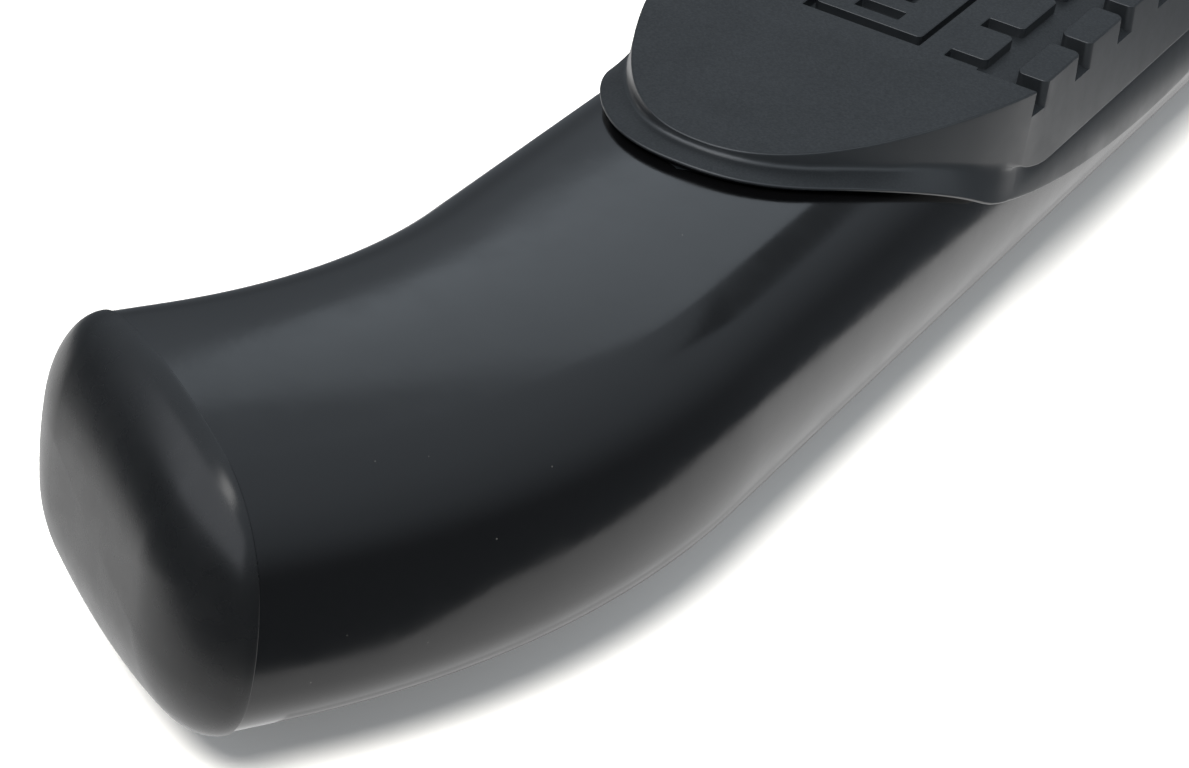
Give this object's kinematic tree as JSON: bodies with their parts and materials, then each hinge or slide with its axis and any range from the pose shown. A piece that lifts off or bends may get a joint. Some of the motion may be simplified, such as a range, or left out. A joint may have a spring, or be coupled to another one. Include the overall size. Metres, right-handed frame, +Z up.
{
  "type": "running board",
  "caption": "Vehicle side step bar: a bent oval tube with capped ends, two moulded step pads and bolt-on brackets with braces.",
  "frame": {"origin": "middle of the whole assembly's outline, on the plane its bracket legs stand on", "axes": "+X along the bar from the pictured front end to the rear end, -Y outboard, +Y towards the vehicle, +Z up as fitted"},
  "size_m": [2.0694, 0.2742, 0.166],
  "materials": {
    "tube_coating": "glossy black powder coat on steel",
    "cap_plastic": "smooth satin black moulded plastic",
    "pad_plastic": "fine-grained dark grey moulded plastic",
    "clip_plastic": "natural white nylon",
    "bracket_coating": "satin black powder coat on steel plate",
    "zinc_steel": "bright zinc plating on steel"
  },
  "bodies": {
    "root": {"side_tube": "tube_coating", "front_end_cap": "cap_plastic", "rear_end_cap": "cap_plastic", "front_step_pad": "pad_plastic", "rear_step_pad": "pad_plastic", "front_pad_clips": "clip_plastic", "rear_pad_clips": "clip_plastic", "tube_inserts": "zinc_steel", "front_bracket": "bracket_coating", "centre_bracket": "bracket_coating", "rear_bracket": "bracket_coating", "front_brace": "bracket_coating", "centre_brace": "bracket_coating", "rear_brace": "bracket_coating", "saddle_bolts": "zinc_steel", "saddle_lock_washers": "zinc_steel", "saddle_flat_washers": "zinc_steel", "brace_bolts": "zinc_steel", "brace_head_washers": "zinc_steel", "brace_nut_washers": "zinc_steel", "brace_nuts": "zinc_steel"}
  },
  "joints": []
}
